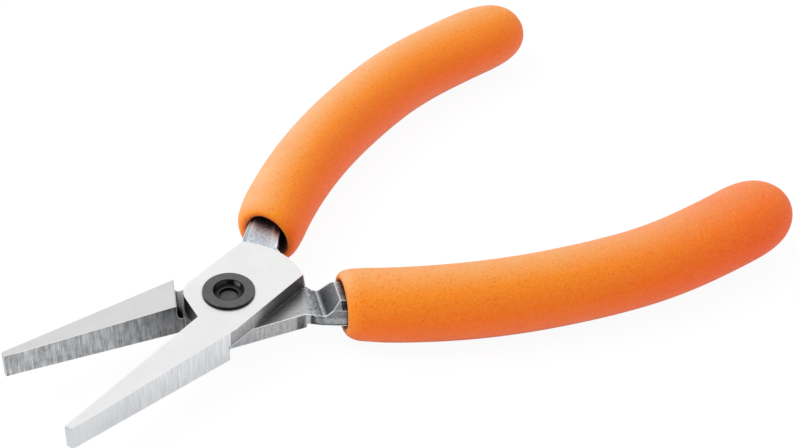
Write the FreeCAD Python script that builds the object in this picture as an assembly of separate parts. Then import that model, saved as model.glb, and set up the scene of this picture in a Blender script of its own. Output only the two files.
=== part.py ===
import FreeCAD, Part
import math
import os

# Flat nose pliers with a lap joint, all sizes in millimetres.
#
# Frame: origin on the pivot axis, in the lap plane between the two halves.
# +Z is up along the pivot, towards its flanged face. The jaws point to -X and
# the handles to +X, and X halves the opening angle.
#
# Each half is first drawn in its own closed frame: gripping face on y = 0, jaw
# on the -Y side of it, handle on the +Y side, joint plate above the lap plane.
# There, forwards is -X, and a handle's inner side, facing the other handle, is -Y.
# The lower half is the same forging turned over about X; only the finishing of
# the jaw tip and the length of the grip's butt differ.

V = FreeCAD.Vector
ORIGIN = V(0, 0, 0)
X_AXIS = V(1, 0, 0)
Z_AXIS = V(0, 0, 1)

# ---------------------------------------------------------------- dimensions
REST_HALF_DEG = 14.3       # each half's turn away from closed, at rest

# joint plate
PLATE_H = 2.82             # height of the outer face above the lap plane
LAP_GAP = 0.01             # each lap face stands this far off the lap plane
PLATE_HALF_W = 6.12
PLATE_REAR_R = 12.42       # rear edge at the lap plane, an arc about the pivot
PLATE_REAR_TOP_R = 11.90   # the same edge at the outer face; the forging has draft here
NOTCH_X = 6.90             # the front edge leaves the gripping face this far forwards
FRONT_LEAN = 0.4417        # and runs straight, this much back for each unit across
FRONT_CORNER_R = 3.4       # radius that turns it into the plate's +Y side

# relief below the lap plane; distances are from the pivot, square to the skewed cut
SHOULDER_DIST = 7.92       # wall of the jaw shoulder, forwards
SHOULDER_SKEW_DEG = 14.5   # skew of the shoulder to Y
SHOULDER_FILLET = 1.05
GROOVE_DIST = 12.38        # middle of the relief groove behind the lap face, backwards
GROOVE_HALF_W = 0.42
GROOVE_DEPTH = 0.12
RAMP_START, RAMP_END = 13.85, 16.0   # ramp from the lap face to the tang's underside
RAMP_FILLET = 0.7
REAR_SKEW_DEG = 10.2       # groove and ramp both run at this skew to Y
RELIEF_H = 3.6             # height of the removed blocks, clear of the steel

# jaw; X distances are forwards from the pivot
TIP_X = 34.17
TIP_HALF_T = 1.944         # half thickness at the tip
TAPER_START_X = 4.15       # jaw starts to thin here
TIP_OUT_Y = 1.10           # outer side of the jaw at the tip
SIDE_END_X = 5.24          # where the jaw's side meets the plate's side
FACE_GAP = 0.012           # each gripping face stands this far off the centre plane
TIP_OUTER_R = {"upper": 0.90, "lower": 0.36}   # upright corner on the jaw's outer side
TIP_INNER_R = 0.18         # upright corner at the gripping face
TIP_NOSE_R = {"upper": 0.30, "lower": 0.16}    # upper and lower edges of the nose

# tang, an eight-sided bar that runs on inside the grip
TANG_HALF_H = 2.56
# its four bevels: (how far they come in, how far from the lap plane they start)
TANG_TOP_INNER = (0.95, 1.95)
TANG_TOP_OUTER = (0.90, 1.90)
TANG_LOW_OUTER = (0.90, 1.15)
TANG_LOW_INNER = (0.30, 2.00)
# stations ahead of the grip's first one: inner point, outer point
TANG_ROOT = [
    ((9.2, -0.9), (8.6, 5.7)),
    ((11.6, 0.75), (10.25, 6.28)),
    ((13.90, 2.00), (12.2, 7.50)),
    ((16.1, 3.50), (14.35, 8.52)),
]
# inside the grip it slims down: (value at the first grip station, value at the end)
TANG_SLIM_HALF_W = (2.62, 1.75)
TANG_SLIM_HALF_H = (TANG_HALF_H, 1.9)
TANG_SLIM_BEVEL = (1.0, 0.7)
# plan (x, y) of the web that eases the plate's rear arc into the tang
WEB_TOP_Z = 2.2
WEB_PLAN = [
    (11.0, 0.0), (12.34, 0.1), (12.62, 0.55), (12.80, 1.25), (12.98, 1.70),
    (13.30, 1.93), (13.95, 2.06), (13.4, 3.4), (11.0, 3.0),
]

# pivot
BORE_R = 2.80              # hole through both plates
SLEEVE_R = 2.74            # shank of the sleeve, turning fit
SLEEVE_END_INSET = 0.30    # sleeve ends this far short of the lower plate's outer face
SLEEVE_END_CHAMFER = 0.2
FLANGE_R = 3.95
FLANGE_H = 0.46
FLANGE_CHAMFER = 0.10
RECESS_R = 2.24
RECESS_DEPTH = 0.86
RECESS_CHAMFER = 0.06
THREAD_R = 1.47            # hole through the sleeve
THREAD_CHAMFER = 0.05
SCREW_R = 1.43
SCREW_END_Z = 1.90         # end face of the screw, seen down the sleeve
SCREW_END_CHAMFER = 0.08
HEAD_R = 3.95
HEAD_H = 0.46
HEAD_CHAMFER = 0.12
HEAD_GAP = 0.02            # between the head and the lower plate
SLOT_W = 0.9
SLOT_DEPTH = 0.32
SLOT_DEG = 35              # turn of the slot from X

# grip stations along its centre line, closed frame:
# x, y, direction in degrees, half width across, half height
GRIP = [
    (17.30, 6.88, 24.06, 5.73, 5.49),
    (22.22, 8.94, 21.32, 5.75, 5.69),
    (27.22, 10.75, 18.46, 5.79, 5.84),
    (32.31, 12.31, 15.50, 5.85, 5.94),
    (37.47, 13.59, 12.42, 5.91, 6.00),
    (42.69, 14.59, 9.27, 5.98, 6.01),
    (47.98, 15.32, 6.56, 6.07, 6.00),
    (53.30, 15.83, 4.43, 6.16, 5.97),
    (58.63, 16.13, 1.93, 6.26, 5.93),
    (63.96, 16.15, -1.89, 6.36, 5.87),
    (69.26, 15.76, -6.43, 6.47, 5.82),
    (74.53, 15.00, -9.67, 6.59, 5.77),
    (79.77, 14.01, -11.49, 6.70, 5.74),
]
# rounded butt beyond the last station
BUTT_LENGTH = {"upper": 16.43, "lower": 14.93}
BUTT_HALF_W, BUTT_HALF_H = 6.80, 5.75
BUTT_FULLNESS = (4.54, 3.47, 4.57)  # of inner side, outer side, height; higher is blunter
BUTT_TURN_DEG = 4.47       # its turn inwards
BUTT_STEPS = 9
BUTT_LAST = 0.955          # last section, as a share of the quarter sine that spaces them
# rounded mouth
MOUTH_DEG = 9.8            # the mouth is cut square to this direction
MOUTH_CENTRE = (15.88, 6.30)
MOUTH_OUTER = (5.47, 5.30, 5.46)    # inner and outer half width, half height, behind the lip
LIP_R = 1.25               # how far the lip rounds in
LIP_L = 2.1                # and over what length
LIP_STEPS = (0.0, 0.10, 0.30, 0.62)  # its sections, as shares of that length
LIP_START = 0.98           # share of LIP_R taken off at the very mouth
# oval between mouth and grip: x, y, direction, inner and outer half width, half height
THROAT = (18.45, 7.42, 16.0, 5.66, 5.58, 5.52)
# hollow in the mouth
HOLLOW = (3.85, 2.95, 3.65)         # inner and outer half width, half height
HOLLOW_END_SCALE = 0.93    # of inner half width and half height at its deep end
# its stations: distance in from the mouth, shift in Y, direction in degrees, scale
HOLLOW_STATIONS = [
    (-1.5, 0.0, MOUTH_DEG, 1.0),
    (1.6, 0.0, 14.0, 1.0),
    (3.6, 0.45, 20.0, HOLLOW_END_SCALE),
]
FIT_GAP = 0.04             # grip hollow stands this far off the tang

# a quarter round's middle lies this far in from both sides, for radius 1
QUARTER_INSET = 1 - math.sqrt(0.5)


# ------------------------------------------------------------------- helpers
def closed_polygon(points):
    return Part.makePolygon(points + [points[0]])


def flat_prism(points, z0, z1):
    """Straight-sided outline in (x, y), extruded from z0 to z1."""
    face = Part.Face(closed_polygon([V(x, y, z0) for x, y in points]))
    return face.extrude(V(0, 0, z1 - z0))


def path_face(path, to_vector):
    """Face in a path that ends where it starts; a list [middle, end] is an arc."""
    edges = []
    start = to_vector(*path[0])
    for step in path[1:]:
        if isinstance(step, list):
            middle, end = [to_vector(*point) for point in step]
            edges.append(Part.Arc(start, middle, end).toShape())
        else:
            end = to_vector(*step)
            edges.append(Part.makeLine(start, end))
        start = end
    return Part.Face(Part.Wire(edges))


def in_xz(x, z):
    return V(x, 0, z)


def skew_prism(path, skew_deg):
    """Extrude a path drawn in (x, z) across the half, then skew it about Z."""
    solid = path_face(path, in_xz).extrude(V(0, 80, 0))
    solid.translate(V(0, -40, 0))
    solid.rotate(ORIGIN, Z_AXIS, skew_deg)
    return solid


def turned(profile):
    """Revolve a profile of (radius, z) points about the pivot axis."""
    face = Part.Face(closed_polygon([in_xz(r, z) for r, z in profile]))
    return face.revolve(ORIGIN, Z_AXIS, 360)


def one_solid(shape, name):
    """The shape's single solid, leaving out slivers."""
    solids = shape.removeSplitter().Solids
    if len(solids) > 1:
        solids = [s for s in solids if s.Volume > 0.5]
    if len(solids) != 1:
        raise RuntimeError("%s came out as %d solids" % (name, len(solids)))
    return solids[0]


def lerp(ends, t):
    return ends[0] + (ends[1] - ends[0]) * t


# ---------------------------------------------------------------------- tang
def tang_stations():
    """(inner point, outer point, half height, bevel scale) along the tang."""
    stations = [(inner, outer, TANG_HALF_H, 1.0) for inner, outer in TANG_ROOT]
    # inside the grip the bar keeps to the grip's centre line, short of its last station
    inside = GRIP[:-1]
    for i, (x, y, deg, _, _) in enumerate(inside):
        t = i / (len(inside) - 1)
        half_w = lerp(TANG_SLIM_HALF_W, t)
        across_x = -math.sin(math.radians(deg)) * half_w
        across_y = math.cos(math.radians(deg)) * half_w
        stations.append(((x - across_x, y - across_y), (x + across_x, y + across_y),
                         lerp(TANG_SLIM_HALF_H, t), lerp(TANG_SLIM_BEVEL, t)))
    return stations


def tang_section(inner, outer, half_h, bevel, grow):
    """Eight-sided section on the upright plane through inner and outer, grown all round."""
    dx, dy = outer[0] - inner[0], outer[1] - inner[1]
    span = math.hypot(dx, dy)
    width = span + 2 * grow
    half_h = half_h + grow
    scale_z = half_h / TANG_HALF_H

    def at(across, z):
        share = (across - grow) / span
        return V(inner[0] + dx * share, inner[1] + dy * share, z)

    return closed_polygon([
        at(0, -TANG_LOW_INNER[1] * scale_z),
        at(0, TANG_TOP_INNER[1] * scale_z),
        at(TANG_TOP_INNER[0] * bevel, half_h),
        at(width - TANG_TOP_OUTER[0] * bevel, half_h),
        at(width, TANG_TOP_OUTER[1] * scale_z),
        at(width, -TANG_LOW_OUTER[1] * scale_z),
        at(width - TANG_LOW_OUTER[0] * bevel, -half_h),
        at(TANG_LOW_INNER[0] * bevel, -half_h),
    ])


def tang_solid(stations, grow=0.0):
    return Part.makeLoft([tang_section(*station, grow) for station in stations], True, True)


# ---------------------------------------------------------------- steel half
SIDE_END = (-SIDE_END_X, -PLATE_HALF_W)


def upright_tip_edge(jaw, y):
    """The jaw's upright edge at the tip that stands at this y."""
    for edge in jaw.Edges:
        a, b = edge.Vertexes[0].Point, edge.Vertexes[-1].Point
        is_upright = abs(a.x - b.x) < 1e-6 and abs(a.y - b.y) < 1e-6
        if is_upright and abs(a.x + TIP_X) < 1e-3 and abs(a.y - y) < 1e-3:
            return edge
    raise RuntimeError("no upright tip edge at y = %g" % y)


def jaw_blank(which):
    """Full-height jaw with the strip of plate it stands on."""
    jaw = flat_prism([
        (-5.0, -FACE_GAP), (-TIP_X, -FACE_GAP), (-TIP_X, -TIP_OUT_Y),
        SIDE_END, (-4.6, -PLATE_HALF_W), (-4.6, -2.0),
    ], -PLATE_H, PLATE_H)
    jaw = jaw.makeFillet(TIP_OUTER_R[which], [upright_tip_edge(jaw, -TIP_OUT_Y)])
    return jaw.makeFillet(TIP_INNER_R, [upright_tip_edge(jaw, -FACE_GAP)])


def joint_plate():
    """Plate above the lap plane, with its drafted rear edge."""
    notch = (-NOTCH_X, -FACE_GAP)
    lean = math.hypot(1.0, FRONT_LEAN)
    dx, dy = FRONT_LEAN / lean, 1.0 / lean      # along the front edge, away from the notch
    reach = (PLATE_HALF_W + FACE_GAP) / dy
    apex_x = notch[0] + dx * reach              # where front edge and +Y side would meet
    apex_angle = math.acos(-dx)
    tangent = FRONT_CORNER_R / math.tan(apex_angle / 2)
    corner_start = (apex_x - dx * tangent, PLATE_HALF_W - dy * tangent)
    corner_end = (apex_x + tangent, PLATE_HALF_W)
    centre_x, centre_y = corner_end[0], PLATE_HALF_W - FRONT_CORNER_R
    start_angle = math.atan2(corner_start[1] - centre_y, corner_start[0] - centre_x)
    mid_angle = (math.pi / 2 + start_angle) / 2
    corner_mid = (centre_x + FRONT_CORNER_R * math.cos(mid_angle),
                  centre_y + FRONT_CORNER_R * math.sin(mid_angle))
    rear_x = math.sqrt(PLATE_REAR_R ** 2 - PLATE_HALF_W ** 2)
    face = path_face([
        SIDE_END,
        (-5.0, -2.0),
        (-7.3, -FACE_GAP - 0.6),
        (-7.3, -FACE_GAP),
        notch,
        corner_start,
        [corner_mid, corner_end],
        (rear_x, PLATE_HALF_W),
        [(PLATE_REAR_R, 0), (rear_x, -PLATE_HALF_W)],
        SIDE_END,
    ], lambda x, y: V(x, y, LAP_GAP))
    plate = face.extrude(V(0, 0, PLATE_H - LAP_GAP))
    # the drafting cone runs 1 mm past the plate below and above
    draft = (PLATE_REAR_R - PLATE_REAR_TOP_R) / PLATE_H
    return plate.common(Part.makeCone(PLATE_REAR_R + draft, PLATE_REAR_TOP_R - draft,
                                      PLATE_H + 2.0, V(0, 0, -1.0)))


def side_envelope(which):
    """Side view of a half: the jaw thins to a rounded nose, the rest keeps full height."""
    tip_x, taper_x, rear_x = -TIP_X, -TAPER_START_X, 110
    r = TIP_NOSE_R[which]
    inset = r * QUARTER_INSET
    envelope = path_face([
        (tip_x, -(TIP_HALF_T - r)),
        (tip_x, TIP_HALF_T - r),
        [(tip_x + inset, TIP_HALF_T - inset), (tip_x + r, TIP_HALF_T)],
        (taper_x, PLATE_H),
        (rear_x, PLATE_H),
        (rear_x, -PLATE_H),
        (taper_x, -PLATE_H),
        (tip_x + r, -TIP_HALF_T),
        [(tip_x + inset, -(TIP_HALF_T - inset)), (tip_x, -(TIP_HALF_T - r))],
    ], in_xz).extrude(V(0, 60, 0))
    envelope.translate(V(0, -25, 0))
    return envelope


def shoulder_cut():
    """Block below the lap face, from the jaw shoulder backwards."""
    wall = -SHOULDER_DIST
    inset = SHOULDER_FILLET * QUARTER_INSET
    bottom = LAP_GAP - RELIEF_H
    return skew_prism([
        (wall, bottom),
        (wall, LAP_GAP - SHOULDER_FILLET),
        [(wall + inset, LAP_GAP - inset), (wall + SHOULDER_FILLET, LAP_GAP)],
        (8.0, LAP_GAP),
        (8.0, bottom),
        (wall, bottom),
    ], SHOULDER_SKEW_DEG)


def ramp_cut():
    """Block below the lap face, with the groove, back to the ramp."""
    front = -3.0
    bottom = LAP_GAP - RELIEF_H
    run = RAMP_END - RAMP_START
    slope = math.atan2(TANG_HALF_H, run)
    tangent = RAMP_FILLET * math.tan(slope / 2)
    fillet_x = RAMP_START - tangent
    mid_angle = math.pi / 2 - slope / 2
    fillet_mid = (fillet_x + RAMP_FILLET * math.cos(mid_angle),
                  LAP_GAP - RAMP_FILLET + RAMP_FILLET * math.sin(mid_angle))
    fillet_end = (RAMP_START + tangent * math.cos(slope),
                  LAP_GAP - tangent * math.sin(slope))
    return skew_prism([
        (front, bottom),
        (front, LAP_GAP),
        (GROOVE_DIST - GROOVE_HALF_W, LAP_GAP),
        [(GROOVE_DIST, LAP_GAP + GROOVE_DEPTH), (GROOVE_DIST + GROOVE_HALF_W, LAP_GAP)],
        (fillet_x, LAP_GAP),
        [fillet_mid, fillet_end],
        (RAMP_START + run * RELIEF_H / TANG_HALF_H, bottom),
        (front, bottom),
    ], REAR_SKEW_DEG)


def steel_half(which):
    web = flat_prism(WEB_PLAN, LAP_GAP, WEB_TOP_Z)
    body = joint_plate().fuse([jaw_blank(which), tang_solid(tang_stations()), web])
    body = body.common(side_envelope(which))
    body = body.cut(shoulder_cut().fuse(ramp_cut()))
    body = body.cut(Part.makeCylinder(BORE_R, 8, V(0, 0, -4)))
    return one_solid(body, which + " half")


# ---------------------------------------------------------------------- grip
def oval(x, y, deg, inner_w, outer_w, half_h):
    """Closed smooth oval square to direction deg: half widths across, half_h up."""
    across_x, across_y = -math.sin(math.radians(deg)), math.cos(math.radians(deg))
    points = []
    count = 16
    for i in range(count):
        angle = 2 * math.pi * i / count
        c = math.cos(angle)
        reach = (outer_w if c > 0 else inner_w) * c
        points.append(V(x + across_x * reach, y + across_y * reach, half_h * math.sin(angle)))
    curve = Part.BSplineCurve()
    curve.interpolate(Points=points, PeriodicFlag=True)
    return Part.Wire([curve.toShape()])


def from_mouth(distance):
    """Point this far into the grip from the mouth's centre."""
    angle = math.radians(MOUTH_DEG)
    return (MOUTH_CENTRE[0] + math.cos(angle) * distance,
            MOUTH_CENTRE[1] + math.sin(angle) * distance)


def lip_sections():
    sections = []
    for q in LIP_STEPS:
        # a full LIP_R at the very mouth is eased to LIP_START of it
        share = 1 - math.sqrt(1 - (1 - q) ** 2) if q else LIP_START
        sizes = [size - LIP_R * share for size in MOUTH_OUTER]
        sections.append(oval(*from_mouth(q * LIP_L), MOUTH_DEG, *sizes))
    return sections


def butt_sections(which):
    length = BUTT_LENGTH[which]
    inner_power, outer_power, height_power = BUTT_FULLNESS
    x, y, start_deg = GRIP[-1][:3]
    sections = []
    done = 0.0
    for i in range(1, BUTT_STEPS + 1):
        t = math.sin(math.pi / 2 * BUTT_LAST * i / BUTT_STEPS)
        deg = start_deg - BUTT_TURN_DEG * t
        step = length * (t - done)
        x += step * math.cos(math.radians(deg))
        y += step * math.sin(math.radians(deg))
        done = t
        sections.append(oval(x, y, deg,
                             BUTT_HALF_W * math.sqrt(1 - t ** inner_power),
                             BUTT_HALF_W * math.sqrt(1 - t ** outer_power),
                             BUTT_HALF_H * math.sqrt(1 - t ** height_power)))
    return sections


def mouth_hollow():
    inner_w, outer_w, half_h = HOLLOW
    sections = []
    for distance, shift_y, deg, scale in HOLLOW_STATIONS:
        x, y = from_mouth(distance)
        sections.append(oval(x, y + shift_y, deg, inner_w * scale, outer_w, half_h * scale))
    return Part.makeLoft(sections, True, False)


def grip_solid(which):
    sections = lip_sections() + [oval(*THROAT)]
    sections += [oval(x, y, deg, w, w, h) for x, y, deg, w, h in GRIP[1:]]
    sections += butt_sections(which)
    body = Part.makeLoft(sections, True, False)
    body = body.cut(mouth_hollow())
    # the tang's first two stations lie ahead of the grip
    body = body.cut(tang_solid(tang_stations()[2:], FIT_GAP))
    return one_solid(body, which + " grip")


# --------------------------------------------------------------------- pivot
def pivot_sleeve():
    top = PLATE_H + FLANGE_H
    end = -PLATE_H + SLEEVE_END_INSET
    floor = top - RECESS_DEPTH
    return turned([
        (THREAD_R, end),
        (SLEEVE_R - SLEEVE_END_CHAMFER, end),
        (SLEEVE_R, end + SLEEVE_END_CHAMFER),
        (SLEEVE_R, PLATE_H),
        (FLANGE_R, PLATE_H),
        (FLANGE_R, top - FLANGE_CHAMFER),
        (FLANGE_R - FLANGE_CHAMFER, top),
        (RECESS_R + RECESS_CHAMFER, top),
        (RECESS_R, top - RECESS_CHAMFER),
        (RECESS_R, floor),
        (THREAD_R + THREAD_CHAMFER, floor),
        (THREAD_R, floor - THREAD_CHAMFER),
    ])


def pivot_screw():
    head_top = -PLATE_H - HEAD_GAP
    head_face = head_top - HEAD_H
    body = turned([
        (0, head_face),
        (HEAD_R - HEAD_CHAMFER, head_face),
        (HEAD_R, head_face + HEAD_CHAMFER),
        (HEAD_R, head_top),
        (SCREW_R, head_top),
        (SCREW_R, SCREW_END_Z - SCREW_END_CHAMFER),
        (SCREW_R - SCREW_END_CHAMFER, SCREW_END_Z),
        (0, SCREW_END_Z),
    ])
    slot = Part.makeBox(2 * HEAD_R + 1, SLOT_W, SLOT_DEPTH + 1,
                        V(-HEAD_R - 0.5, -SLOT_W / 2, head_face - 1))
    slot.rotate(ORIGIN, Z_AXIS, SLOT_DEG)
    return body.cut(slot).Solids[0]


# ------------------------------------------------------------------ assembly
def place(shape, which):
    """Bring a piece from its closed frame to its rest position."""
    placed = shape.copy()
    if which == "lower":
        placed.rotate(ORIGIN, X_AXIS, 180)
    placed.rotate(ORIGIN, Z_AXIS, REST_HALF_DEG if which == "upper" else -REST_HALF_DEG)
    return placed


nodes = {"pivot_sleeve": pivot_sleeve(), "pivot_screw": pivot_screw()}
for which in ("upper", "lower"):
    nodes[which + "_half"] = place(steel_half(which), which)
    nodes[which + "_grip"] = place(grip_solid(which), which)

os.makedirs("parts", exist_ok=True)
for name, shape in nodes.items():
    shape.exportStep("parts/%s.step" % name)
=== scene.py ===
# A pliers-like hand tool: two steel halves lapped at a pivot, with orange sleeves on the handles.
# It lies flat with the pivot's axis along z through the origin, jaws towards -x, grips towards +x.
# The upper half has its grip on the +y side, the lower half on the -y side, both held open.
#
# Closed frame of a half, mm: the half turned back to its closed pose. The lower half is also
# turned over about x, so that in this frame both grips lie at +y and both jaws face +y.
import math
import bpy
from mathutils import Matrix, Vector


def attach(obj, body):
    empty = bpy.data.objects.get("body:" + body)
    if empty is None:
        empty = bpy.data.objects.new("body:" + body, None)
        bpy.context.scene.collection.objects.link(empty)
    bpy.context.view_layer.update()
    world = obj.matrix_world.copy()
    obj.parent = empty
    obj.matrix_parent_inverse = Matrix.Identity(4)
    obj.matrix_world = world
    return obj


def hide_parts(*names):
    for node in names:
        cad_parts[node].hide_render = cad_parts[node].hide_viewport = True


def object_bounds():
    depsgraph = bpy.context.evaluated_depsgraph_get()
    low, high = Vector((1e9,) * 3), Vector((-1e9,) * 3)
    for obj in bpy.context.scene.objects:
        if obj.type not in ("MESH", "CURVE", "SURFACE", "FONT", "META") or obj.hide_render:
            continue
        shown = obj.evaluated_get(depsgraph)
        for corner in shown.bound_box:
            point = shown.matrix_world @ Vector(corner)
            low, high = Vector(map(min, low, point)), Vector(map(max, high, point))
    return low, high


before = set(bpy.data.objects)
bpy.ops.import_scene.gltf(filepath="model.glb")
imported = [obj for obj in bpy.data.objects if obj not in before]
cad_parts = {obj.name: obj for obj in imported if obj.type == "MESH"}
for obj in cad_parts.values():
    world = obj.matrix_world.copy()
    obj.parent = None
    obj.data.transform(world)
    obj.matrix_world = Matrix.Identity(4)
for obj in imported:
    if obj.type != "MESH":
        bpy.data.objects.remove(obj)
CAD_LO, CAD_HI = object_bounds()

from types import SimpleNamespace

import bpy
import bmesh
import numpy as np
from mathutils import Matrix, Vector

MM = 0.001
REST = math.radians(14.3)     # how far each half is turned from closed
WHITE = (1.0, 1.0, 1.0)
scene = bpy.context.scene


# ------------------------------------------------------------------ node kit
# The helpers build into the tree that open_tree() opened last.
def open_tree(owner):
    """Empty the node tree of a material or world and make it the current one."""
    global tree
    owner.use_nodes = True
    tree = owner.node_tree
    tree.nodes.clear()
    return owner


def open_material(name):
    return open_tree(bpy.data.materials.new(name))


def add(kind, inputs=None, **props):
    """New node; inputs maps socket names or indices to Values or constants."""
    node = tree.nodes.new(kind)
    for name, value in props.items():
        setattr(node, name, value)
    for key, value in (inputs or {}).items():
        socket = node.inputs[key]
        if isinstance(value, Value):
            tree.links.new(value.socket, socket)
        elif socket.type == "RGBA":
            socket.default_value = value + (1.0,)
        else:
            socket.default_value = value
    return node


class Value:
    """A node's output; arithmetic on it adds math nodes."""

    def __init__(self, node, output=0):
        self.socket = node.outputs[output]

    def __add__(self, other):
        return calc("ADD", self, other)

    def __radd__(self, other):
        return calc("ADD", other, self)

    def __sub__(self, other):
        return calc("SUBTRACT", self, other)

    def __rsub__(self, other):
        return calc("SUBTRACT", other, self)

    def __mul__(self, other):
        return calc("MULTIPLY", self, other)

    def __lt__(self, other):
        return calc("LESS_THAN", self, other)

    def __gt__(self, other):
        return calc("GREATER_THAN", self, other)

    def __abs__(self):
        return calc("ABSOLUTE", self)

    def where(self, mask, times):
        """This value, multiplied by times where the mask is 1."""
        return self * mix(mask, off=1.0, on=times)


def calc(operation, *operands):
    return Value(add("ShaderNodeMath", dict(enumerate(operands)), operation=operation))


def larger(first, second):
    return calc("MAXIMUM", first, second)


def mul_add(value, factor, extra):
    return calc("MULTIPLY_ADD", value, factor, extra)


def radius_of(x, y):
    return calc("SQRT", x * x + y * y)


def dot(first, second):
    node = add("ShaderNodeVectorMath", {0: first, 1: second}, operation="DOT_PRODUCT")
    return Value(node, "Value")


def to_mm(vector):
    return Value(add("ShaderNodeVectorMath", {0: vector, "Scale": 1000.0}, operation="SCALE"))


def axes(vector):
    node = add("ShaderNodeSeparateXYZ", {0: vector})
    return [Value(node, i) for i in range(3)]


def vec(x, y, z):
    return Value(add("ShaderNodeCombineXYZ", {0: x, 1: y, 2: z}))


def ramp(value, to, over=(0.3, 0.7), interpolation="LINEAR"):
    """Map the range `over` to the range `to`; by default the usual spread of a noise."""
    return Value(add("ShaderNodeMapRange", {
        "Value": value, "From Min": over[0], "From Max": over[1],
        "To Min": to[0], "To Max": to[1]}, interpolation_type=interpolation))


def step(value, off, on):
    """0 at off, 1 at on, smooth between; off may be above on."""
    if off <= on:
        return ramp(value, to=(0.0, 1.0), over=(off, on), interpolation="SMOOTHSTEP")
    return ramp(value, to=(1.0, 0.0), over=(on, off), interpolation="SMOOTHSTEP")


def near(value, centre, off, on):
    """Step on the distance from a centre."""
    return step(abs(value - centre), off, on)


def noise(vector, scale, detail, rough):
    return Value(add("ShaderNodeTexNoise", {
        "Vector": vector, "Scale": scale, "Detail": detail, "Roughness": rough}), "Fac")


def mix(mask, off, on):
    """off where the mask is 0, on where it is 1."""
    return Value(add("ShaderNodeMix", {0: mask, 2: off, 3: on}, data_type="FLOAT"))


def layered(value, *layers):
    """Lay (mask, value) pairs one over the other."""
    for mask, over in layers:
        value = mix(mask, value, over)
    return value


def mix_colour(mask, off, on, blend="MIX"):
    return Value(add("ShaderNodeMix", {0: mask, 6: off, 7: on},
                     data_type="RGBA", blend_type=blend), 2)


def tinted(colour, tint):
    return mix_colour(1.0, colour, tint, blend="MULTIPLY")


def grey(value):
    return Value(add("ShaderNodeCombineColor", {0: value, 1: value, 2: value}))


def bump(height, strength, distance):
    return Value(add("ShaderNodeBump", {
        "Strength": strength, "Distance": distance, "Height": height}))


def normal_here():
    return Value(add("ShaderNodeNewGeometry"), "Normal")


def output(shader):
    add("ShaderNodeOutputMaterial", {0: shader})


def principled(inputs):
    output(Value(add("ShaderNodeBsdfPrincipled", inputs)))


def edge_mask(radius, off, on):
    """1 along edges, from how far a rounded normal strays from the real one; radius in metres."""
    rounded = Value(add("ShaderNodeBevel", {"Radius": radius}, samples=6))
    return step(1.0 - dot(rounded, normal_here()), off, on)


def openness(distance, off, on):
    """1 in the open, 0 deep in a corner, where painted shade goes; distance in metres."""
    occlusion = add("ShaderNodeAmbientOcclusion", {"Distance": distance}, samples=8)
    return step(Value(occlusion, "AO"), off, on)


# ------------------------------------------------------------------ steel
GROOVE_SKEW = math.radians(10.2)      # groove and ramp run across this direction
SHOULDER_SKEW = math.radians(14.5)    # and the shoulder across this one
GROOVE_AT = 12.38                     # middle of the groove along its skewed direction, mm

UPPER_STEEL = SimpleNamespace(
    lower=False,
    gain=1.0,                         # overall brightness
    tang_dark=0.55,                   # darkest mottle on the tang
    edge_radius=0.00028,              # reach of the burnished, painted-highlight edges, metres
    bare_face=0.0,                    # 1 keeps burnish and painted highlight off the outer face's edges
    z_sign=-1.0,                      # takes z to the frame the burnished, painted-highlight rims are cut in
    tang_reflection_tint=(0.84, 0.95, 1.04))
LOWER_STEEL = SimpleNamespace(
    lower=True, gain=0.82, tang_dark=0.40, edge_radius=0.00021,
    bare_face=1.0, z_sign=1.0, tang_reflection_tint=(0.90, 0.96, 1.0))


def steel_spot(lower):
    """The shaded point (mm) and its normal in the half's closed frame."""
    coords = add("ShaderNodeTexCoord")
    vectors = []
    for name in ("Object", "Normal"):
        vector = Value(add("ShaderNodeVectorRotate", {
            "Vector": Value(coords, name), "Angle": REST if lower else -REST,
        }, rotation_type="Z_AXIS"))
        if lower:
            vector = Value(add("ShaderNodeVectorMath", {0: vector, 1: (1.0, -1.0, -1.0)},
                               operation="MULTIPLY"))
        vectors.append(vector)
    point, normal = to_mm(vectors[0]), vectors[1]
    x, y, z = axes(point)
    facing = axes(normal)

    def skewed(angle):
        return x * math.cos(angle) + y * math.sin(angle)

    return SimpleNamespace(
        point=point, xyz=(x, y, z), facing=facing, level=abs(facing[2]),
        radius=radius_of(x, y), skew=skewed(GROOVE_SKEW), shoulder=skewed(SHOULDER_SKEW))


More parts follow.
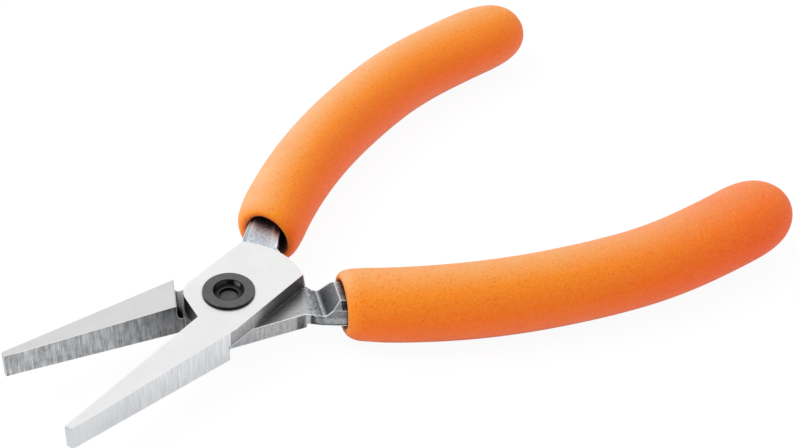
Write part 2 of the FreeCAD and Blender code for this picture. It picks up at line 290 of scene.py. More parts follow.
def steel_zones(spot):
    """Masks, 1 inside each part of a half."""
    x, y, z = spot.xyz
    nx, ny, nz = spot.facing
    skew = spot.skew
    flat = step(spot.level, off=0.80, on=0.92)           # faces that look up or down
    side = 1.0 - flat
    jaw = step(x, off=-6.42, on=-6.50)
    outer_face = step(z, off=2.60, on=2.72) * flat
    beyond = step(spot.radius, off=12.30, on=12.75) * step(x, off=5.0, on=6.0)
    stem = step(x, off=9.0, on=10.0) * (
        (1.0 - outer_face) * step(spot.radius, off=11.95, on=12.1))
    tang = larger(beyond, stem) * step(z, off=-3.0, on=-2.9)
    # the jaw's face towards +y, and its back and end towards -y and -x
    inner = step(ny, off=0.90, on=0.96) * step(x, off=-6.3, on=-6.6)
    outer = larger(step(ny, off=-0.45, on=-0.75), step(nx, off=-0.6, on=-0.85)) * jaw
    outer = outer * (1.0 - step(x, off=-20.0, on=-19.0) * step(nx, off=-0.4, on=-0.6))
    lap = (abs(z - 0.07) < 0.16) * step(nz, off=-0.3, on=-0.6)
    shoulder = step(spot.shoulder, off=-6.72, on=-6.87) * step(spot.shoulder, off=-8.1, on=-8.0)
    shoulder = shoulder * ((z < 0.0) * step(ny, off=0.8, on=0.6))
    ramp_face = step(skew, off=13.55, on=13.85) * step(skew, off=16.25, on=16.05) * (
        step(nz, off=-0.35, on=-0.55) * (z < 0.0))
    # walls of the joint: all of them, those towards +y, the others, and the one towards -x
    wall = side * ((1.0 - jaw) * (1.0 - tang))
    wall_plus = wall * step(ny, off=0.5, on=0.8)
    wall_other = wall * step(ny, off=0.8, on=0.5)
    front = side * step(nx, off=-0.55, on=-0.75) * (
        step(spot.shoulder, off=-7.3, on=-7.1) * (z > 0.0))
    hollow = near(skew, 12.45, off=1.05, on=0.80) * (step(nz, off=0.1, on=-0.1) * (z < 1.2))
    hollow = hollow * (z > -0.9)
    nose = step(x, off=-32.45, on=-32.7) * step(spot.level, off=0.985, on=0.95)
    return SimpleNamespace(
        flat=flat, jaw=jaw, outer_face=outer_face, tang=tang, inner=inner, outer=outer, lap=lap,
        shoulder=shoulder, ramp_face=ramp_face, wall=wall, wall_plus=wall_plus,
        wall_other=wall_other, front=front, hollow=hollow, nose=nose)


def steel_marks(spot):
    """Grinding marks, streaks and mottling."""
    x, y, z = spot.xyz
    point = spot.point
    return SimpleNamespace(
        across=noise(vec(x, y * 0.02, z * 0.035), scale=7.5, detail=4.0, rough=0.66),
        coarse=noise(vec(x, y * 0.02, z * 0.12), scale=1.5, detail=3.0, rough=0.6),
        blotch=noise(vec(x, y, z * 0.6), scale=1.1, detail=4.0, rough=0.65),
        along=noise(vec(x * 0.03, y, z * 0.5), scale=10.0, detail=3.0, rough=0.55),
        lap=noise(vec(spot.skew * 0.06, mul_add(x, -0.177, y), z * 0.3),
                  scale=4.5, detail=4.0, rough=0.7),
        mottle=noise(point, scale=2.1, detail=5.0, rough=0.65),
        grain=noise(point, scale=8.0, detail=3.0, rough=0.6),
        cloud=noise(point, scale=0.22, detail=2.0, rough=0.5))


def outer_jaw_tone(spot, marks):
    x, nx = spot.xyz[0], spot.facing[0]
    tone = ramp(mul_add(marks.across, 0.6, marks.coarse * 0.4),
                over=(0.34, 0.66), to=(0.66, 0.96))
    # painted shade: the end face towards -x, which faces the light more, is toned down; the back
    # brightens towards the root
    tone = tone * mix(step(nx, off=-0.45, on=-0.85),
                      off=ramp(x, over=(-24.0, -8.0), to=(1.03, 1.14)), on=0.80)
    return mix(step(x, off=-21.0, on=-30.0) * 0.75, off=tone, on=0.80)


def inner_jaw_tone(spot, marks):
    """Streaked, darker towards the root, grimy towards the tip."""
    x, y, z = spot.xyz
    root = ramp(x, over=(-20.0, -8.5), to=(0.0, 1.0))
    streak = marks.across * 0.42 + (marks.coarse * 0.36 + marks.blotch * 0.22)
    grime = step(noise(vec(x * 0.9, 0.0, z * 0.35), scale=0.55, detail=4.0, rough=0.7),
                 off=0.54, on=0.66) * step(x, off=-20.0, on=-25.0)
    tone = ramp(streak, over=(0.39, 0.61), to=(0.26, 0.94)).where(root, times=0.50)
    return tone.where(grime, times=0.72)


def plus_wall_tone(spot, marks):
    """Streaked, with painted shade in a dip near the tang."""
    x, y, z = spot.xyz
    tone = ramp(mul_add(marks.across, 0.7, marks.mottle * 0.3),
                over=(0.34, 0.66), to=(0.40, 0.90))
    dip = near(x, 9.25, off=1.0, on=0.40) * ramp(z, over=(0.0, 2.6), to=(0.55, 0.80))
    return tone * (1.0 - dip)


def other_wall_tone(spot, marks):
    """Painted light and shade: light beside the jaw, dark behind the pivot and towards the lap;
    streaked.
    """
    x, y, z = spot.xyz
    tone = (ramp(x, over=(-1.2, 1.2), to=(1.0, 0.52))
            * ramp(x, over=(1.2, 4.5), to=(1.0, 0.52)))
    tone = tone * ramp(z, over=(0.0, 2.6), to=(0.70, 1.10))
    return tone * ramp(mul_add(marks.across, 0.6, marks.mottle * 0.4),
                       over=(0.34, 0.66), to=(0.33, 0.64))


def tang_tone(spot, marks, darkest):
    x, y, z = spot.xyz
    nx, ny, nz = spot.facing
    level = spot.level
    tone = ramp(marks.mottle * 0.62 + marks.grain * 0.38, over=(0.38, 0.62), to=(darkest, 1.0))
    tone = tone.where(step(level, off=0.55, on=0.30), times=0.55)
    # the neck's flank towards +y has painted shade where it starts, then a painted lit band, and
    # darkens with z
    neck = step(ny, off=0.5, on=0.8) * step(level, off=0.5, on=0.3) * (x < 19.0)
    neck_tone = mix(step(x, off=10.9, on=11.7), off=0.24, on=1.0)
    neck_tone = neck_tone * mix(near(z, 0.95, off=0.75, on=0.35), off=0.85, on=1.35)
    neck_tone = neck_tone * ramp(z, over=(1.3, 1.9), to=(1.0, 0.36))
    tone = tone.where(neck, times=neck_tone)
    # painted light and shade on the bevels: those towards +z are bright, the one towards -z and +y
    # is dark
    slope = step(level, off=0.95, on=0.88) * step(level, off=0.42, on=0.52)
    upper_bevel = ramp(marks.grain, to=(0.80, 1.0)).where(step(ny, off=-0.1, on=0.1), times=0.62)
    dark_bevel = step(level, off=0.90, on=0.80) * (
        step(nz, off=-0.25, on=-0.4) * step(ny, off=0.3, on=0.5))
    return layered(tone, (slope * (nz > 0.0), upper_bevel),
                   (dark_bevel, ramp(marks.mottle, over=(0.36, 0.66), to=(0.02, 0.16))))


def steel_tone(spot, zones, marks, look):
    """Brightness of the bare metal, zone by zone."""
    x, y, z = spot.xyz
    ny = spot.facing[1]
    skew = spot.skew
    speckle = noise(spot.point, scale=5.0, detail=4.0, rough=0.7)
    tone = layered(
        ramp(marks.along, to=(0.925, 0.965)) * ramp(speckle, to=(0.965, 1.015)),
        (zones.outer, outer_jaw_tone(spot, marks)),
        (zones.inner, inner_jaw_tone(spot, marks)),
        (zones.wall_plus, plus_wall_tone(spot, marks)),
        (zones.wall_other, other_wall_tone(spot, marks)),
        # painted shadow: the front wall darkens to near black with y
        (zones.front, ramp(y, over=(0.6, 4.6), to=(0.46, 0.05))
            * ramp(marks.mottle, to=(0.8, 1.15))),
        # painted light: the lap brightens with x, away from the wall that shades it
        (zones.lap, ramp(marks.lap, to=(0.45, 0.80)) * ramp(x, over=(4.0, 9.0), to=(0.97, 1.14))))
    # painted shade darkens the lap in its groove, and the lap darkens again behind it
    tone = tone.where(zones.lap * near(skew, GROOVE_AT, off=0.55, on=0.15), times=0.62)
    tone = tone.where(zones.lap * step(skew, off=12.75, on=13.05),
                      times=ramp(y, over=(4.6, 6.4), to=(0.40, 0.80)))
    tone = layered(
        tone,
        # painted shade: the shoulder goes nearly black towards y = -0.9
        (zones.shoulder, ramp(marks.mottle, to=(0.38, 0.62))
            * ramp(y, over=(-2.6, -0.9), to=(1.0, 0.10))),
        (zones.tang, tang_tone(spot, marks, look.tang_dark)),
        (zones.ramp_face, ramp(marks.lap, to=(0.27, 0.54))
            * ramp(skew, over=(13.6, 16.0), to=(0.80, 1.30))))
    if look.lower:
        heel = (1.0 - zones.flat) * (step(x, off=9.95, on=10.3) * (
            step(x, off=10.75, on=10.55) * step(ny, off=0.0, on=0.2)))
        tone = mix(heel, off=tone, on=ramp(marks.mottle, to=(0.55, 0.85)))
    # painted light and shade across the groove's hollow, lighter on the jaw's side, darker towards
    # the tang
    tone = tone.where(zones.hollow, times=ramp(marks.lap, over=(0.35, 0.65), to=(0.62, 1.0))
                      * ramp(skew, over=(12.3, 13.2), to=(1.25, 0.55)))
    tone = tone * ramp(marks.cloud, to=(0.97, 1.02))
    return tone.where(zones.nose * step(spot.level, off=0.15, on=0.35), times=0.95)


def steel_material(name, look):
    material = open_material(name)
    spot = steel_spot(look.lower)
    zones = steel_zones(spot)
    marks = steel_marks(spot)
    x, y, z = spot.xyz

    tone = steel_tone(spot, zones, marks, look)
    # painted shade: the metal darkens in corners and creases, flats a little more than walls
    in_open = openness(0.0030, off=0.22, on=0.88)
    tone = tone * mix(in_open, off=mix(zones.flat, off=0.34, on=0.30), on=1.0)

    # burnished edges with a painted highlight, fading on the jaw's tip and in the groove
    groove = near(spot.skew, GROOVE_AT, off=1.0, on=0.75) * (
        step(z, off=-0.8, on=-0.7) * ((z < 1.0) * (y < 5.75)))
    burnish_and_highlight = edge_mask(look.edge_radius, off=0.008, on=0.070) * (
        step(in_open, off=0.25, on=0.75) * (1.0 - zones.outer_face * look.bare_face))
    burnish_and_highlight = burnish_and_highlight.where(step(x, off=-32.0, on=-32.7), times=0.15)
    burnish_and_highlight = burnish_and_highlight.where(groove, times=0.06)
    # the rims of ramp and tang are burnished and given a painted highlight, brighter and wider
    # than the rest
    rim = edge_mask(0.00034, off=0.010, on=0.06) * (
        step(spot.skew, off=13.3, on=13.8) * step(z * look.z_sign, off=2.3, on=2.1))
    tone = layered(tone * look.gain, (burnish_and_highlight * 0.9, 1.0),
                   (rim * (step(in_open, off=0.15, on=0.6) * 0.85), 1.0))
    # painted highlight: the edges glow with a thin line of white light, seen from every side
    painted_edge_glow = larger(
        burnish_and_highlight * mix(larger(zones.jaw, zones.outer_face), off=0.30, on=0.04),
        rim * step(in_open, off=0.15, on=0.6) * 0.24)

    roughness = layered(
        ramp(marks.along, to=(0.28, 0.34)),
        (zones.outer, 0.38),
        (zones.inner, ramp(marks.coarse, to=(0.32, 0.44))),
        (zones.lap, 0.36),
        (zones.wall, 0.42),
        (zones.tang, ramp(marks.mottle, to=(0.36, 0.50))),
        (burnish_and_highlight, 0.30),
        (larger(zones.hollow, zones.nose), 0.62))
    height = layered(
        marks.along * 0.15,
        (zones.outer, marks.across),
        (zones.inner, mul_add(marks.coarse, 1.2, marks.across)),
        (zones.lap, marks.lap),
        (zones.wall_plus, marks.across),
        (zones.wall_other, marks.mottle),
        (zones.tang, mul_add(marks.grain, 0.7, marks.mottle)),
        (zones.ramp_face, marks.lap))
    strength = layered(0.10, (zones.outer, 0.35), (zones.inner, 0.5), (zones.tang, 0.5))

    # the flats are neutral; walls and tangs get a painted cool tint for reflected light, tangs and
    # shoulder most
    tint = mix_colour(
        larger(larger(zones.tang, zones.wall), larger(zones.inner, zones.outer)),
        off=(0.997, 0.998, 0.995), on=(0.955, 0.975, 1.0))
    tint = mix_colour(larger(zones.tang, zones.shoulder), off=tint, on=look.tang_reflection_tint)
    principled({
        "Base Color": tinted(grey(tone), tint),
        "Roughness": roughness,
        "Metallic": 1.0,
        "Normal": bump(height, strength, distance=0.00003),
        "Emission Color": WHITE,
        "Emission Strength": painted_edge_glow})
    return material


# ------------------------------------------------------------------ black steel
# Painted highlights on the screw's recess wall: direction, dot product off and on, brightness
RECESS_PAINTED_HIGHLIGHTS = (
    ((-0.952, -0.306, 0.0), 0.935, 0.99, 0.36),
    ((-0.92, 0.39, 0.0), 0.965, 0.995, 0.16),
    ((-0.06, -1.0, 0.0), 0.80, 1.0, 0.09),
)


def black_material(name):
    """Blackened pivot parts; radii are in mm from the pivot's axis."""
    material = open_material(name)
    coords = add("ShaderNodeTexCoord")
    point = to_mm(Value(coords, "Object"))
    fine = noise(point, scale=14.0, detail=3.0, rough=0.6)
    mottle = noise(point, scale=1.4, detail=4.0, rough=0.6)
    x, y, z = axes(point)
    radius = radius_of(x, y)
    turning = noise(vec(radius, 0.0, z * 1.0), scale=9.0, detail=2.0, rough=0.5)
    steep = step(axes(normal_here())[2], off=0.5, on=0.2)
    ledge = step(radius, off=2.42, on=2.36) * step(radius, off=1.50, on=1.56)

    tone = ramp(fine * 0.5 + mottle * 0.5, over=(0.35, 0.65), to=(0.085, 0.140))
    # the outer rim is a little lighter in patches
    lighter_rim = step(radius, off=3.80, on=3.93)
    tone = tone + lighter_rim * ramp(mottle, over=(0.4, 0.7), to=(0.0, 0.05))
    # painted shade: steep walls go nearly black, and the ledge darkens towards the wall above it
    tone = tone.where(steep, times=0.10)
    tone = tone.where(ledge, times=ramp(radius, over=(1.6, 2.3), to=(0.50, 0.10)))
    tone = tone.where(step(radius, off=1.46, on=1.34), times=1.08)

    # the recess wall is painted near black as shade, with broad soft painted highlights in places
    wall = steep * (step(radius, off=2.6, on=2.45) * step(radius, off=1.9, on=2.1))
    wall_tone = 0.012
    for direction, off, on, brightness in RECESS_PAINTED_HIGHLIGHTS:
        lit = step(dot(Value(coords, "Normal"), direction), off, on)
        wall_tone = wall_tone + lit * brightness
    wall_tone = wall_tone * ramp(
        noise(vec(x, y, z * 0.2), scale=4.0, detail=2.0, rough=0.5), to=(0.6, 1.4))
    # painted shade makes the bore's wall below nearly black
    tone = layered(tone, (wall, wall_tone), (steep * step(radius, off=1.62, on=1.56), 0.010))

    sheen_free = larger(ledge, larger(steep, step(radius, off=1.5, on=1.4)))
    principled({
        "Base Color": tinted(grey(tone), (1.0, 1.0, 1.02)),
        "Roughness": ramp(mottle, to=(0.38, 0.52)),
        "Metallic": 0.55,
        "Normal": bump(mul_add(turning, 0.6, fine), strength=0.25, distance=0.00003),
        "Specular IOR Level": mix(sheen_free, off=0.5, on=0.12)})
    return material


# ------------------------------------------------------------------ orange vinyl
LIGHT_FROM = (-0.30, 0.60, 0.742)
# Colour by how much the surface faces LIGHT_FROM: position 0 (away) to 1 (towards), colour
VINYL_STOPS = (
    (0.0, (0.99, 0.27, 0.16)), (0.2, (0.99, 0.175, 0.045)), (0.40, (1.0, 0.176, 0.001)),
    (0.72, (0.94, 0.275, 0.010)), (0.88, (0.82, 0.355, 0.100)), (1.0, (0.77, 0.415, 0.200)),
)


def vinyl_by_facing(facing):
    node = add("ShaderNodeValToRGB", {0: ramp(facing, over=(-1.0, 1.0), to=(0.0, 1.0))})
    elements = node.color_ramp.elements
    while len(elements) < len(VINYL_STOPS):
        elements.new(0.5)
    for element, (position, colour) in zip(elements, VINYL_STOPS):
        element.position = position
        element.color = colour + (1.0,)
    return Value(node)


def grip_material(name):
    material = open_material(name)
    point = to_mm(Value(add("ShaderNodeTexCoord"), "Object"))
    fine = noise(point, scale=5.0, detail=3.0, rough=0.70)
    pebble = noise(point, scale=2.4, detail=3.0, rough=0.60)
    cloud = noise(point, scale=0.30, detail=3.0, rough=0.5)
    facing = dot(normal_here(), LIGHT_FROM)
    # the vinyl reads peach where it faces the light, coral where it turns away
    colour = mix_colour(ramp(cloud, to=(0.0, 0.20)),
                        off=vinyl_by_facing(facing), on=(0.95, 0.21, 0.012))
    # the far end of the lower sleeve is redder
    x, y, z = axes(point)
    far_end = ramp(x, over=(42.0, 76.0), to=(0.0, 1.0)) * (y < 0.0)
    colour = mix_colour(far_end * 0.9, off=colour, on=tinted(colour, (1.0, 0.57, 0.48)))
    # light grains and dark pits
    colour = mix_colour(ramp(fine, over=(0.50, 0.66), to=(0.0, 0.50)),
                        off=colour, on=(1.0, 0.42, 0.10))
    colour = mix_colour(ramp(pebble, over=(0.47, 0.30), to=(0.0, 0.46)),
                        off=colour, on=(0.72, 0.10, 0.004))
    # painted shade: the hollow of the mouth goes dark red
    in_open = openness(0.0060, off=0.10, on=0.62)
    colour = mix_colour(1.0 - in_open, off=colour, on=(0.20, 0.012, 0.004))
    # painted glow: a faint red emission lifts the side turned away from the light
    painted_glow = ramp(facing, over=(0.9, -0.2), to=(0.0, 0.085)) * in_open
    principled({
        "Base Color": colour,
        "Roughness": ramp(pebble, to=(0.48, 0.60)),
        "Metallic": 0.0,
        "Normal": bump(mul_add(pebble, 1.4, fine), strength=0.9, distance=0.00012),
        "Subsurface Weight": 0.05,
        "Subsurface Scale": 0.001,
        "Specular IOR Level": 0.18,
        "Sheen Weight": 0.18,
        "Sheen Roughness": 0.40,
        "Sheen Tint": (1.0, 0.70, 0.64),
        "Emission Color": (1.0, 0.10, 0.0),
        "Emission Strength": painted_glow})
    return material


# ------------------------------------------------------------------ floor sheet
def diffuse(brightness):
    return Value(add("ShaderNodeBsdfDiffuse", {"Color": grey(brightness)}))


def emission(strength):
    return Value(add("ShaderNodeEmission", {"Color": WHITE, "Strength": strength}))


def mix_shader(mask, off, on):
    return Value(add("ShaderNodeMixShader", {0: mask, 1: off, 2: on}))


def floor_material():
    """Pale matt sweep: bright to the camera, quieter in what it throws back at the tool."""
    material = open_material("pale_floor")
    coords = Value(add("ShaderNodeTexCoord"), "Object")
    pattern = noise(coords, scale=30.0, detail=2.0, rough=0.5)
    seen = mix_shader(0.92, off=diffuse(ramp(pattern, to=(0.90, 0.91))),
                      on=emission(strength=1.02))
    # towards the tool it is part matt, part softly lit from within, so contacts don't go black
    quiet = Value(add("ShaderNodeAddShader", {
        0: diffuse(ramp(pattern, to=(0.61, 0.62))), 1: emission(strength=0.27)}))
    camera_ray = Value(add("ShaderNodeLightPath"), "Is Camera Ray")
    # seen from below the sheet is clear, so that the tool's underside can be looked at
    below = Value(add("ShaderNodeNewGeometry"), "Backfacing")
    output(mix_shader(below, off=mix_shader(camera_ray, off=quiet, on=seen),
                      on=Value(add("ShaderNodeBsdfTransparent"))))
    return material


upper_steel = steel_material("ground_steel_upper", UPPER_STEEL)
lower_steel = steel_material("ground_steel_lower", LOWER_STEEL)
black_steel = black_material("black_steel")
orange_vinyl = grip_material("orange_sleeve")


# ------------------------------------------------------------------ metal parts
def fresh_normals_group():
    """Drops the stored normals and shades every face smooth, so the bevel decides the shading."""
    group = bpy.data.node_groups.new("fresh_normals", "GeometryNodeTree")
    for direction in ("INPUT", "OUTPUT"):
        group.interface.new_socket("Geometry", in_out=direction, socket_type="NodeSocketGeometry")
    entry = group.nodes.new("NodeGroupInput")
    leave = group.nodes.new("NodeGroupOutput")
    remove = group.nodes.new("GeometryNodeRemoveAttribute")
    remove.inputs["Name"].default_value = "custom_normal"
    smooth = group.nodes.new("GeometryNodeSetShadeSmooth")
    for source, target in ((entry, remove), (remove, smooth), (smooth, leave)):
        group.links.new(source.outputs[0], target.inputs[0])
    return group


def add_modifier(obj, name, kind, **settings):
    modifier = obj.modifiers.new(name, kind)
    for key, value in settings.items():
        setattr(modifier, key, value)


def dress_metal(part, material, bevel_width, bevel_from):
    """Give a CAD part its material and soften the edges sharper than bevel_from degrees."""
    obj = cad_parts[part]
    obj.data.materials.clear()
    obj.data.materials.append(material)
    for polygon in obj.data.polygons:
        polygon.material_index = 0
    add_modifier(obj, "fresh", "NODES", node_group=fresh_normals)
    add_modifier(obj, "weld", "WELD", merge_threshold=2e-6)
    add_modifier(obj, "flats", "DECIMATE", decimate_type="DISSOLVE",
                 angle_limit=math.radians(0.7))
    add_modifier(obj, "edges", "BEVEL", width=bevel_width, segments=2, limit_method="ANGLE",
                 angle_limit=math.radians(bevel_from), use_clamp_overlap=True,
                 miter_outer="MITER_ARC")
    add_modifier(obj, "normals", "WEIGHTED_NORMAL", mode="FACE_AREA", weight=60,
                 keep_sharp=False)


fresh_normals = fresh_normals_group()
for part, material in (("upper_half", upper_steel), ("lower_half", lower_steel)):
    dress_metal(part, material, bevel_width=0.00010, bevel_from=24.0)
for part in ("pivot_sleeve", "pivot_screw"):
    dress_metal(part, black_steel, bevel_width=0.00006, bevel_from=35.0)


# ------------------------------------------------------------------ grips
# All in the closed frame, mm. Centre line from the mouth to the butt:
# x, y, heading in degrees, half width across, half height
GRIP_LINE = np.array([
    (15.88, 6.30, 22.5, 5.72, 5.46), (18.45, 7.39, 22.2, 5.74, 5.54),
    (22.22, 8.94, 21.32, 5.75, 5.69), (27.22, 10.75, 18.46, 5.79, 5.84),
    (32.31, 12.31, 15.50, 5.85, 5.94), (37.47, 13.59, 12.42, 5.91, 6.00),
    (42.69, 14.59, 9.27, 5.98, 6.01), (47.98, 15.32, 6.56, 6.07, 6.00),
    (53.30, 15.83, 4.43, 6.16, 5.97), (58.63, 16.13, 1.93, 6.26, 5.93),
    (63.96, 16.15, -1.89, 6.36, 5.87), (69.26, 15.76, -6.43, 6.47, 5.82),
    (74.53, 15.00, -9.67, 6.59, 5.77), (79.77, 14.01, -11.49, 6.70, 5.74),
])
# distance of each row along the line
LINE_AT = np.concatenate([[0.0], np.cumsum(np.hypot(*np.diff(GRIP_LINE[:, :2], axis=0).T))])
BUTT_LENGTH = {"upper": 16.43, "lower": 14.93}
BUTT_FULL_IN, BUTT_FULL_OUT, BUTT_FULL_HEIGHT = 4.54, 3.47, 4.57    # roundness exponents
BUTT_TURN = 4.47                       # degrees
BUTT_WIDTH, BUTT_HEIGHT = 6.80, 5.75   # half sizes the butt swells to
MOUTH_HEADING = 9.8                    # degrees
HOLE_IN, HOLE_OUT, HOLE_HEIGHT = 3.85, 3.10, 3.62   # half sizes of the mouth's hole
CUP_DEPTH = 4.3
LIP_INSIDE, LIP_OUTSIDE = 0.95, 2.3    # how far the lip's rounding reaches along the line
LIP_INNER_SHARE = 0.36                 # part of the lip's thickness rounded towards the hole
BODY_STEP = 0.72
TANG_ROWS = (1, 12)                    # rows between which the tang tapers
TANG_WIDTH, TANG_HEIGHT = (2.62, 1.75), (2.56, 1.9)   # its half sizes at those rows
TANG_CLEARANCE = 0.05

N_ROUND = 112
ANGLES = np.linspace(0, 2 * math.pi, N_ROUND, endpoint=False)
COS, SIN = np.cos(ANGLES), np.sin(ANGLES)
OUTWARD = COS > 0                      # the side away from the other grip
HOLE_RADIUS = np.where(OUTWARD, HOLE_OUT, HOLE_IN)


def smooth01(value):
    value = min(max(value, 0.0), 1.0)
    return value * value * (3 - 2 * value)


def line_slope(i):
    before, after = max(i - 1, 0), min(i + 1, len(LINE_AT) - 1)
    return (GRIP_LINE[after] - GRIP_LINE[before]) / (LINE_AT[after] - LINE_AT[before])


def line_point(distance):
    """Row of GRIP_LINE at a distance along it, on a smooth (Hermite) curve."""
    i = int(np.clip(np.searchsorted(LINE_AT, distance) - 1, 0, len(LINE_AT) - 2))
    span = LINE_AT[i + 1] - LINE_AT[i]
    part = (distance - LINE_AT[i]) / span
    return ((2 * part ** 3 - 3 * part ** 2 + 1) * GRIP_LINE[i]
            + (part ** 3 - 2 * part ** 2 + part) * line_slope(i) * span
            + (-2 * part ** 3 + 3 * part ** 2) * GRIP_LINE[i + 1]
            + (part ** 3 - part ** 2) * line_slope(i + 1) * span)


def section(distance):
    """Centre, heading, half widths around the ring and half height of the sleeve's outside."""
    x, y, heading, width, height = line_point(distance)
    turn = smooth01(distance / 7.0)
    heading = MOUTH_HEADING + (heading - MOUTH_HEADING) * turn
    # the mouth is a little wider overall, and drawn in on both sides
    width = width * (1.0 + 0.022 * (1 - turn))
    width_in = width - 0.26 * (1 - smooth01(distance / 5.0))
    width_out = width - 0.45 * (1 - smooth01(distance / 8.0))
    return (x, y), heading, np.where(OUTWARD, width_out, width_in), height


def ring(centre, heading, across, height):
    """Ring of points square to the heading; across and height are half sizes or arrays."""
    heading = math.radians(heading)
    points = np.zeros((N_ROUND, 3))
    points[:, 0] = centre[0] - math.sin(heading) * (across * COS)
    points[:, 1] = centre[1] + math.cos(heading) * (across * COS)
    points[:, 2] = height * SIN
    return points


def hole_ring(distance):
    centre, heading, _, _ = section(distance)
    return ring(centre, heading, HOLE_RADIUS, HOLE_HEIGHT)


def octagon_radius(angle, width, height, chamfer):
    """Distance from the centre to the tang's eight-sided section along an angle."""
    tall = height / TANG_HEIGHT[0]
    corners = [
        (-width, -2.0 * tall), (-width, 1.95 * tall),
        (-width + 0.95 * chamfer, height), (width - 0.9 * chamfer, height),
        (width, 1.9 * tall), (width, -1.15 * tall),
        (width - 0.9 * chamfer, -height), (-width + 0.3 * chamfer, -height),
    ]
    ray_x, ray_y = math.cos(angle), math.sin(angle)
    nearest = 1e9
    for i in range(8):
        start_x, start_y = corners[i]
        end_x, end_y = corners[(i + 1) % 8]
        edge_x, edge_y = end_x - start_x, end_y - start_y
        cross = ray_x * edge_y - ray_y * edge_x
        if abs(cross) < 1e-12:
            continue
        reach = (start_x * edge_y - start_y * edge_x) / cross
        on_edge = (start_x * ray_y - start_y * ray_x) / cross
        if reach > 0 and -1e-9 <= on_edge <= 1 + 1e-9:
            nearest = min(nearest, reach)
    return nearest


def bore_rings():
    """The bore around the tang, from its blind end to the floor of the cup."""
    taper_from, taper_to = LINE_AT[list(TANG_ROWS)]
    rings = []
    for distance in np.linspace(taper_to, CUP_DEPTH + 0.35, 46):
        centre, heading, _, _ = section(distance)
        taper = (distance - taper_from) / (taper_to - taper_from)
        width, height = (big + (small - big) * taper + TANG_CLEARANCE
                         for big, small in (TANG_WIDTH, TANG_HEIGHT))
        radius = np.array([octagon_radius(angle, width, height, 1.0 - 0.3 * taper)
                           for angle in ANGLES])
        rings.append(ring(centre, heading, radius, radius))
    return rings


def cup_rings(bore_end):
    """The cup's floor, blended from the bore to the hole, then its wall up to the lip."""
    wall = hole_ring(CUP_DEPTH)
    rings = [bore_end * (1 - part) + wall * part for part in (0.25, 0.5, 0.72, 0.88, 0.97)]
    return rings + [hole_ring(s) for s in np.linspace(CUP_DEPTH - 0.25, LIP_INSIDE, 7)]


def lip_rings():
    """One round-over from the hole's wall to the outside."""
    _, _, mouth_radius, mouth_height = section(0.0)
    thick_across, thick_up = mouth_radius - HOLE_RADIUS, mouth_height - HOLE_HEIGHT
    rings = []
    for angle in np.linspace(0, math.pi / 2, 8)[1:]:
        centre, heading, _, _ = section(LIP_INSIDE * (1 - math.sin(angle)))
        share = LIP_INNER_SHARE * (1 - math.cos(angle))
        rings.append(ring(centre, heading, HOLE_RADIUS + thick_across * share,
                          HOLE_HEIGHT + thick_up * share))
    for angle in np.linspace(math.pi / 2, 0, 14)[1:]:
        centre, heading, radius, height = section(LIP_OUTSIDE * (1 - math.sin(angle)))
        share = (1 - LIP_INNER_SHARE) * (1 - math.cos(angle))
        rings.append(ring(centre, heading, radius - thick_across * share,
                          height - thick_up * share))
    return rings


def body_rings():
    end = LINE_AT[-1]
    count = int((end - LIP_OUTSIDE) / BODY_STEP)
    return [ring(*section(s)) for s in np.linspace(LIP_OUTSIDE, end, count + 1)[1:]]


def butt_rings(length):
    """The rounded, slightly turning end beyond the line, and its last point."""
    x, y, first_heading, first_width, first_height = GRIP_LINE[-1]
    fullness = np.where(OUTWARD, BUTT_FULL_OUT, BUTT_FULL_IN)
    rings = []
    done = 0.0
    steps = 34
    for i in range(1, steps):
        distance = length * math.sin(math.pi / 2 * i / steps)
        part = distance / length
        heading = first_heading - BUTT_TURN * part
        x += (distance - done) * math.cos(math.radians(heading))
        y += (distance - done) * math.sin(math.radians(heading))
        done = distance
        ease = smooth01(part * 2.2)
        width = first_width + (BUTT_WIDTH - first_width) * ease
        height = first_height + (BUTT_HEIGHT - first_height) * ease
        rings.append(ring((x, y), heading, width * np.sqrt(1 - part ** fullness),
                          height * math.sqrt(1 - part ** BUTT_FULL_HEIGHT)))
    end = np.array([x + (length - done) * math.cos(math.radians(heading)),
                    y + (length - done) * math.sin(math.radians(heading)), 0.0])
    return rings, end


def to_scene(points, which):
    """Closed frame in mm to the open pose in metres."""
    angle = REST
    if which == "lower":
        points = points * np.array([1.0, -1.0, -1.0])
        angle = -REST
    cos, sin = math.cos(angle), math.sin(angle)
    turned = points.copy()
    turned[..., 0] = points[..., 0] * cos - points[..., 1] * sin
    turned[..., 1] = points[..., 0] * sin + points[..., 1] * cos
    return turned * MM


def make_grip(which):
    """One closed skin: bore, cup, lip, body and butt."""
    bore = bore_rings()
    butt, butt_end = butt_rings(BUTT_LENGTH[which])
    rings = bore + cup_rings(bore[-1]) + lip_rings() + body_rings() + butt

    bm = bmesh.new()
    loops = [[bm.verts.new(point) for point in to_scene(points, which)] for points in rings]
    for this, following in zip(loops[:-1], loops[1:]):
        for i in range(N_ROUND):
            j = (i + 1) % N_ROUND
            bm.faces.new((this[i], this[j], following[j], following[i]))
    for loop, point in ((loops[0], bore[0].mean(0)), (loops[-1], butt_end)):
        tip = bm.verts.new(to_scene(point, which))
        for i in range(N_ROUND):
            bm.faces.new((loop[i], loop[(i + 1) % N_ROUND], tip))
    bmesh.ops.recalc_face_normals(bm, faces=bm.faces)
    # guards against the whole skin having come out facing inwards
    if bm.calc_volume(signed=True) < 0:
        bmesh.ops.reverse_faces(bm, faces=bm.faces)
    for face in bm.faces:
        face.smooth = True
    return link_mesh(bm, which + "_sleeve", orange_vinyl)


def link_mesh(bm, name, material):
    mesh = bpy.data.meshes.new(name)
    bm.to_mesh(mesh)
    bm.free()
    obj = bpy.data.objects.new(name, mesh)
    scene.collection.objects.link(obj)
    mesh.materials.append(material)
    return obj


for which in ("upper", "lower"):
    grip = make_grip(which)
    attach(grip, which)
    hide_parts(which + "_grip")


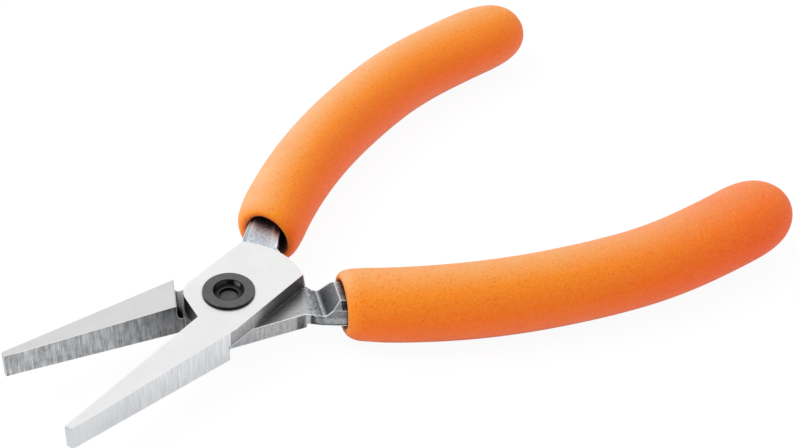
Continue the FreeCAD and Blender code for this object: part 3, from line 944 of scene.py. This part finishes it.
# ------------------------------------------------------------------ stage, metres
FLOOR_HALF = 3.0
FLOOR_GAP = 0.0001                     # below the tool
FAR = (0.519, 0.578, 0.629)            # up and away from the camera
KEY_PLACE, KEY_TARGET = Vector((-0.42, 0.50, 0.72)), Vector((0.03, 0, 0))
CAMERA_PLACE = Vector((-0.098385, -0.146827, 0.160812))
CAMERA_AXES = Matrix((                 # its right, up and backward directions
    (0.7689301, -0.6375317, 0.0479569),
    (0.3754935, 0.5110467, 0.7731985),
    (-0.5174467, -0.5765281, 0.6323482)))


def make_floor(z):
    bm = bmesh.new()
    bm.faces.new([bm.verts.new((x * FLOOR_HALF, y * FLOOR_HALF, z))
                  for x, y in ((-1, -1), (1, -1), (1, 1), (-1, 1))])
    link_mesh(bm, "floor", floor_material())


def make_world():
    """Soft studio: bright sheets overhead and on the far side, dimmer towards the camera."""
    scene.world = open_tree(bpy.data.worlds.new("studio"))
    direction = Value(add("ShaderNodeTexCoord"), "Generated")
    sheets = ramp(dot(direction, FAR), over=(-0.7, 0.95), to=(0.50, 0.94),
                  interpolation="SMOOTHSTEP")
    # a quieter patch straight overhead
    overhead = ramp(dot(direction, (0.0, 0.0, 1.0)), over=(0.72, 0.98), to=(1.0, 0.72),
                    interpolation="SMOOTHSTEP")
    background = add("ShaderNodeBackground", {0: WHITE, 1: sheets * overhead})
    add("ShaderNodeOutputWorld", {0: Value(background)})


def make_key_light():
    """Square soft light that the metal doesn't mirror."""
    data = bpy.data.lights.new("key", "AREA")
    data.shape = "RECTANGLE"
    data.size = data.size_y = 0.7
    data.energy = 7.0
    light = bpy.data.objects.new("key", data)
    scene.collection.objects.link(light)
    light.visible_glossy = False
    light.location = KEY_PLACE
    light.rotation_mode = "QUATERNION"
    light.rotation_quaternion = (KEY_TARGET - KEY_PLACE).to_track_quat("-Z", "Y")


def make_camera():
    data = bpy.data.cameras.new("camera")
    data.sensor_fit = "HORIZONTAL"
    data.sensor_width = 36.0
    data.lens = 70.8589
    data.clip_start = 0.01
    data.clip_end = 20.0
    camera = bpy.data.objects.new("camera", data)
    scene.collection.objects.link(camera)
    scene.camera = camera
    camera.matrix_world = Matrix.Translation(CAMERA_PLACE) @ CAMERA_AXES.transposed().to_4x4()


make_floor(CAD_LO.z - FLOOR_GAP)
make_world()
make_key_light()
make_camera()
scene.view_settings.view_transform = "Standard"
scene.view_settings.look = "None"
